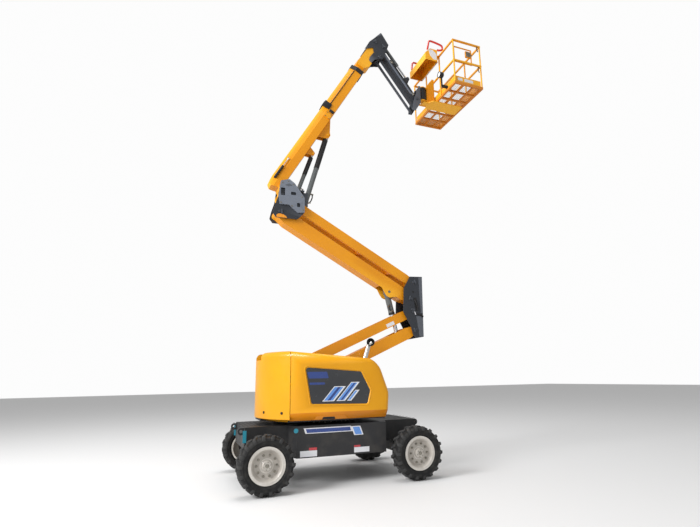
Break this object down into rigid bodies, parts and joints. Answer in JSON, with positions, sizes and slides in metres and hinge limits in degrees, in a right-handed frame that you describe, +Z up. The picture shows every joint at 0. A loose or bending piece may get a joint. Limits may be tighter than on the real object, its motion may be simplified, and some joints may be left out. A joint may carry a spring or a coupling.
{
  "type": "articulating boom lift",
  "caption": "Four-wheeled articulating boom lift: slewing turntable with folding riser arms, telescoping boom, hinged jib and a rotating work platform.",
  "frame": {"origin": "on the ground under the slew axis, midway between the axles", "axes": "+X towards the work platform in the rest pose, +Z up, +Y to the left of the boom's direction"},
  "size_m": [4.99, 2.49, 9.2104],
  "materials": {
    "black_plastic": "matt",
    "chrome_rod": "polished",
    "cover_plastic": "moulded",
    "dark_paint": "satin",
    "engine_metal": "raw",
    "exhaust_metal": "brushed",
    "grey_paint": "satin",
    "mesh_steel": "galvanised",
    "red_paint": "gloss",
    "rim_paint": "satin",
    "tyre": "matt rubber",
    "window_plastic": "textured",
    "yellow_paint": "gloss"
  },
  "bodies": {
    "chassis": {"chassis_frame": "dark_paint", "slew_ring": "dark_paint", "drive_axle": "dark_paint", "steer_axle": "dark_paint", "steer_cylinder": "dark_paint"},
    "wheel_drive_left": {"tyre_drive_left": "tyre", "rim_drive_left": "rim_paint"},
    "wheel_drive_right": {"tyre_drive_right": "tyre", "rim_drive_right": "rim_paint"},
    "wheel_steer_left": {"tyre_steer_left": "tyre", "rim_steer_left": "rim_paint"},
    "wheel_steer_right": {"tyre_steer_right": "tyre", "rim_steer_right": "rim_paint"},
    "knuckle_left": {"steer_knuckle_left": "dark_paint"},
    "knuckle_right": {"steer_knuckle_right": "dark_paint"},
    "track_rod": {"tie_rod": "dark_paint"},
    "steering_ram": {"steer_cylinder_rod": "chrome_rod"},
    "turntable": {"turntable_frame": "dark_paint", "counterweight": "yellow_paint", "engine_block": "engine_metal", "exhaust_pipe": "exhaust_metal"},
    "left_cover": {"cover_left": "cover_plastic", "cover_window_left": "window_plastic"},
    "right_cover": {"cover_right": "cover_plastic", "cover_window_right": "window_plastic"},
    "lower_arm": {"riser_lower_arm": "yellow_paint"},
    "lower_link": {"riser_lower_link": "yellow_paint"},
    "middle_upright": {"mid_upright": "dark_paint"},
    "upper_arm": {"riser_upper_arm": "yellow_paint"},
    "upper_link": {"riser_upper_link": "yellow_paint"},
    "top_upright": {"upper_upright": "dark_paint", "upright_cover": "grey_paint"},
    "riser_barrel": {"riser_cylinder_barrel": "dark_paint"},
    "riser_rod": {"riser_cylinder_rod": "chrome_rod"},
    "boom_base": {"boom_outer": "yellow_paint", "boom_collar": "black_plastic"},
    "boom_tip": {"boom_inner": "yellow_paint"},
    "lift_barrel": {"lift_cylinder_barrel": "dark_paint"},
    "lift_rod": {"lift_cylinder_rod": "chrome_rod"},
    "level_barrel": {"level_cylinder_barrel": "dark_paint"},
    "level_rod": {"level_cylinder_rod": "chrome_rod"},
    "knuckle_head": {"tip_knuckle": "dark_paint"},
    "jib": {"jib_arm": "dark_paint"},
    "jib_bars": {"jib_link": "dark_paint"},
    "jib_barrel": {"jib_cylinder_barrel": "grey_paint"},
    "jib_rod": {"jib_cylinder_rod": "chrome_rod"},
    "jib_end": {"jib_end_bracket": "dark_paint", "rotator": "dark_paint"},
    "platform": {"platform_support": "yellow_paint", "platform_floor": "yellow_paint", "platform_deck": "mesh_steel", "platform_posts": "yellow_paint", "platform_mid_rail": "yellow_paint", "platform_top_rail": "yellow_paint", "platform_toe_board": "yellow_paint", "platform_gate": "yellow_paint", "control_console": "yellow_paint", "safety_bar": "red_paint", "work_lamp": "black_plastic"}
  },
  "joints": [
    {"name": "wheel_spin_drive_left", "type": "hinge", "parent": "chassis", "child": "wheel_drive_left", "pos_m": [1.25, 1.0925, 0.4275], "axis": [0, 1, 0], "continuous": true},
    {"name": "wheel_spin_drive_right", "type": "hinge", "parent": "chassis", "child": "wheel_drive_right", "pos_m": [1.25, -1.0925, 0.4275], "axis": [0, 1, 0], "continuous": true},
    {"name": "steer", "type": "hinge", "parent": "chassis", "child": "knuckle_left", "pos_m": [-1.25, 0.88, 0.4275], "axis": [0, 0, 1], "range_deg": [-35, 35]},
    {"name": "steer_right", "type": "hinge", "parent": "chassis", "child": "knuckle_right", "pos_m": [-1.25, -0.88, 0.4275], "axis": [0, 0, 1], "range_deg": [-35.02, 35.02]},
    {"name": "wheel_spin_steer_left", "type": "hinge", "parent": "knuckle_left", "child": "wheel_steer_left", "pos_m": [-1.25, 1.0925, 0.4275], "axis": [0, 1, 0], "continuous": true},
    {"name": "wheel_spin_steer_right", "type": "hinge", "parent": "knuckle_right", "child": "wheel_steer_right", "pos_m": [-1.25, -1.0925, 0.4275], "axis": [0, 1, 0], "continuous": true},
    {"name": "track_rod_pivot", "type": "hinge", "parent": "knuckle_left", "child": "track_rod", "pos_m": [-1.08, 0.88, 0.4275], "axis": [0, 0, 1], "range_deg": [-35.02, 35.02]},
    {"name": "steering_ram_slide", "type": "slide", "parent": "chassis", "child": "steering_ram", "axis": [0, 1, 0], "range_m": [-0.0982, 0.0982]},
    {"name": "slew", "type": "hinge", "parent": "chassis", "child": "turntable", "pos_m": [0, 0, 0.9853], "axis": [0, 0, 1], "range_deg": [-177.5, 177.5]},
    {"name": "left_cover_hinge", "type": "hinge", "parent": "turntable", "child": "left_cover", "pos_m": [-0.85697, 0.346, 2.08804], "axis": [0.9967, 0, -0.0806], "range_deg": [0, 60]},
    {"name": "right_cover_hinge", "type": "hinge", "parent": "turntable", "child": "right_cover", "pos_m": [-0.85697, -0.346, 2.08804], "axis": [-0.9967, 0, 0.0806], "range_deg": [0, 60]},
    {"name": "riser_lift", "type": "hinge", "parent": "turntable", "child": "lower_arm", "pos_m": [-1.006, 0, 1.294], "axis": [0, -1, 0], "range_deg": [-25.5, 10.5]},
    {"name": "lower_link_pivot", "type": "hinge", "parent": "turntable", "child": "lower_link", "pos_m": [-1.066, 0, 1.644], "axis": [0, -1, 0], "range_deg": [-25.52, 10.52]},
    {"name": "middle_upright_pivot", "type": "hinge", "parent": "lower_arm", "child": "middle_upright", "pos_m": [1.81488, 0, 2.57955], "axis": [0, -1, 0], "range_deg": [-10.52, 25.52]},
    {"name": "upper_arm_pivot", "type": "hinge", "parent": "middle_upright", "child": "upper_arm", "pos_m": [1.73488, 0, 3.18955], "axis": [0, 1, 0], "range_deg": [-28.58, 11.78]},
    {"name": "upper_link_pivot", "type": "hinge", "parent": "middle_upright", "child": "upper_link", "pos_m": [1.77988, 0, 3.52455], "axis": [0, 1, 0], "range_deg": [-28.58, 11.78]},
    {"name": "top_upright_pivot", "type": "hinge", "parent": "upper_arm", "child": "top_upright", "pos_m": [-0.96055, 0, 4.72077], "axis": [0, -1, 0], "range_deg": [-28.58, 11.78]},
    {"name": "riser_cylinder_pivot", "type": "hinge", "parent": "upper_arm", "child": "riser_barrel", "pos_m": [1.26988, 0, 3.31955], "axis": [0, -1, 0], "range_deg": [-21.98, 9.06]},
    {"name": "riser_cylinder_slide", "type": "slide", "parent": "riser_barrel", "child": "riser_rod", "axis": [0.2326, 0, -0.9726], "range_m": [-0.3792, 0.1565]},
    {"name": "boom_lift", "type": "hinge", "parent": "top_upright", "child": "boom_base", "pos_m": [-0.90055, 0, 5.23977], "axis": [0, -1, 0], "range_deg": [-59.5, 15.5]},
    {"name": "telescope", "type": "slide", "parent": "boom_base", "child": "boom_tip", "axis": [0.5075, 0, 0.8616], "range_m": [0, 2.6]},
    {"name": "lift_cylinder_pivot", "type": "hinge", "parent": "top_upright", "child": "lift_barrel", "pos_m": [-0.44555, 0, 4.92577], "axis": [0, -1, 0], "range_deg": [-60.92, 15.88]},
    {"name": "lift_cylinder_slide", "type": "slide", "parent": "lift_barrel", "child": "lift_rod", "axis": [0.2741, 0, 0.9617], "range_m": [-0.5331, 0.1393]},
    {"name": "level_cylinder_pivot", "type": "hinge", "parent": "top_upright", "child": "level_barrel", "pos_m": [-0.62055, 0, 5.09977], "axis": [0, -1, 0], "range_deg": [-64.88, 16.91]},
    {"name": "level_cylinder_slide", "type": "slide", "parent": "level_barrel", "child": "level_rod", "axis": [0.3245, 0, 0.9459], "range_m": [-0.2849, 0.0746]},
    {"name": "head_level", "type": "hinge", "parent": "boom_tip", "child": "knuckle_head", "pos_m": [1.11263, 0, 8.9284], "axis": [0, -1, 0], "range_deg": [-15.52, 59.52]},
    {"name": "jib_lift", "type": "hinge", "parent": "knuckle_head", "child": "jib", "pos_m": [1.27763, 0, 8.8484], "axis": [0, -1, 0], "range_deg": [-7.5, 107.5]},
    {"name": "jib_bars_pivot", "type": "hinge", "parent": "knuckle_head", "child": "jib_bars", "pos_m": [1.19763, 0, 8.6084], "axis": [0, -1, 0], "range_deg": [-7.52, 107.52]},
    {"name": "jib_cylinder_pivot", "type": "hinge", "parent": "knuckle_head", "child": "jib_barrel", "pos_m": [1.32763, 0, 9.0334], "axis": [0, -1, 0], "range_deg": [-7.75, 110.8]},
    {"name": "jib_cylinder_slide", "type": "slide", "parent": "jib_barrel", "child": "jib_rod", "axis": [0.6227, 0, -0.7824], "range_m": [-0.3041, 0.0217]},
    {"name": "jib_end_level", "type": "hinge", "parent": "jib", "child": "jib_end", "pos_m": [2.09946, 0, 7.77737], "axis": [0, -1, 0], "range_deg": [-107.52, 7.52]},
    {"name": "platform_rotate", "type": "hinge", "parent": "jib_end", "child": "platform", "pos_m": [2.29246, 0, 7.83937], "axis": [0, 0, 1], "range_deg": [-90, 90]}
  ],
  "couplings": [
    {"joint": "steer_right", "follows": "steer", "ratio": 1},
    {"joint": "track_rod_pivot", "follows": "steer", "ratio": -1},
    {"joint": "steering_ram_slide", "follows": "steer", "m_per_rad": 0.16},
    {"joint": "lower_link_pivot", "follows": "riser_lift", "ratio": 1},
    {"joint": "middle_upright_pivot", "follows": "riser_lift", "ratio": -1},
    {"joint": "upper_arm_pivot", "follows": "riser_lift", "ratio": 1.12},
    {"joint": "upper_link_pivot", "follows": "riser_lift", "ratio": 1.12},
    {"joint": "top_upright_pivot", "follows": "riser_lift", "ratio": 1.12},
    {"joint": "riser_cylinder_pivot", "follows": "riser_lift", "ratio": 0.8612},
    {"joint": "riser_cylinder_slide", "follows": "riser_lift", "m_per_rad": 0.851},
    {"joint": "lift_cylinder_pivot", "follows": "boom_lift", "ratio": 1.0235},
    {"joint": "lift_cylinder_slide", "follows": "boom_lift", "m_per_rad": 0.5129},
    {"joint": "level_cylinder_pivot", "follows": "boom_lift", "ratio": 1.09},
    {"joint": "level_cylinder_slide", "follows": "boom_lift", "m_per_rad": 0.2739},
    {"joint": "head_level", "follows": "boom_lift", "ratio": -1},
    {"joint": "jib_bars_pivot", "follows": "jib_lift", "ratio": 1},
    {"joint": "jib_cylinder_pivot", "follows": "jib_lift", "ratio": 1.0305},
    {"joint": "jib_cylinder_slide", "follows": "jib_lift", "m_per_rad": -0.1618},
    {"joint": "jib_end_level", "follows": "jib_lift", "ratio": -1}
  ]
}
